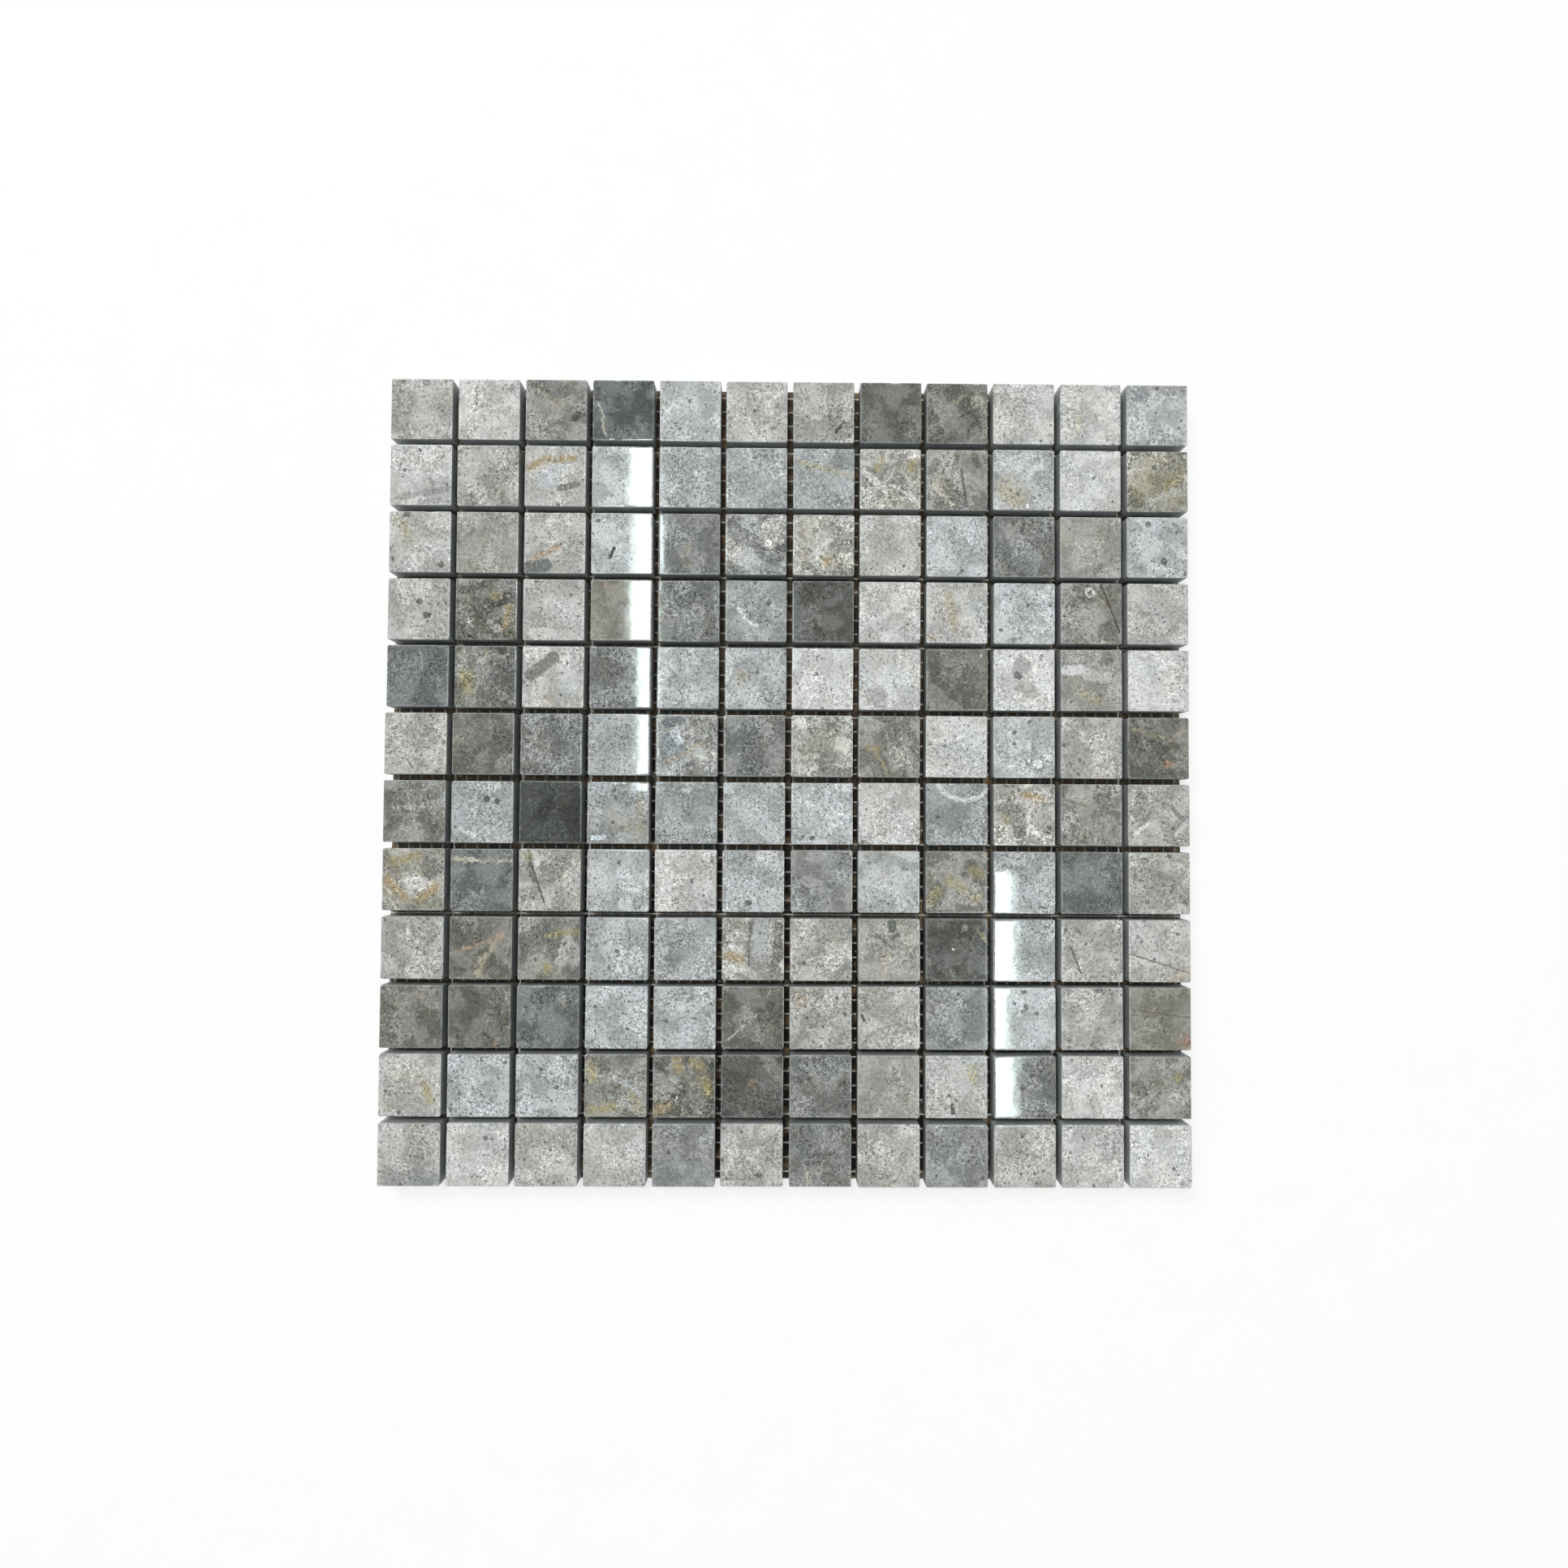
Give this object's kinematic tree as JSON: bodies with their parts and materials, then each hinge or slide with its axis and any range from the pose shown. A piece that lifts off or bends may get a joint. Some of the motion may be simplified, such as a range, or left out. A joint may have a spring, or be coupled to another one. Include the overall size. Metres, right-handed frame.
{
  "type": "mosaic tile sheet",
  "caption": "Flat square mosaic sheet of small polished grey stone chips glued face up on a backing net with open grout joints, for tiling floors and walls.",
  "frame": {"origin": "centre of the sheet's underside, on the floor it lies on", "axes": "+X along a row of chips, +Y up the sheet towards the far row, +Z out of the polished faces"},
  "size_m": [0.298, 0.298, 0.0104],
  "materials": {
    "stone_chip": "polished",
    "net": "resin-coated glass fibre, matt"
  },
  "bodies": {
    "root": {"chip_row_01": "stone_chip", "chip_row_02": "stone_chip", "chip_row_03": "stone_chip", "chip_row_04": "stone_chip", "chip_row_05": "stone_chip", "chip_row_06": "stone_chip", "chip_row_07": "stone_chip", "chip_row_08": "stone_chip", "chip_row_09": "stone_chip", "chip_row_10": "stone_chip", "chip_row_11": "stone_chip", "chip_row_12": "stone_chip", "backing_net_1_1": "net", "backing_net_1_2": "net", "backing_net_1_3": "net", "backing_net_1_4": "net", "backing_net_1_5": "net", "backing_net_2_1": "net", "backing_net_2_2": "net", "backing_net_2_3": "net", "backing_net_2_4": "net", "backing_net_2_5": "net", "backing_net_3_1": "net", "backing_net_3_2": "net", "backing_net_3_3": "net", "backing_net_3_4": "net", "backing_net_3_5": "net", "backing_net_4_1": "net", "backing_net_4_2": "net", "backing_net_4_3": "net", "backing_net_4_4": "net", "backing_net_4_5": "net"}
  },
  "joints": []
}
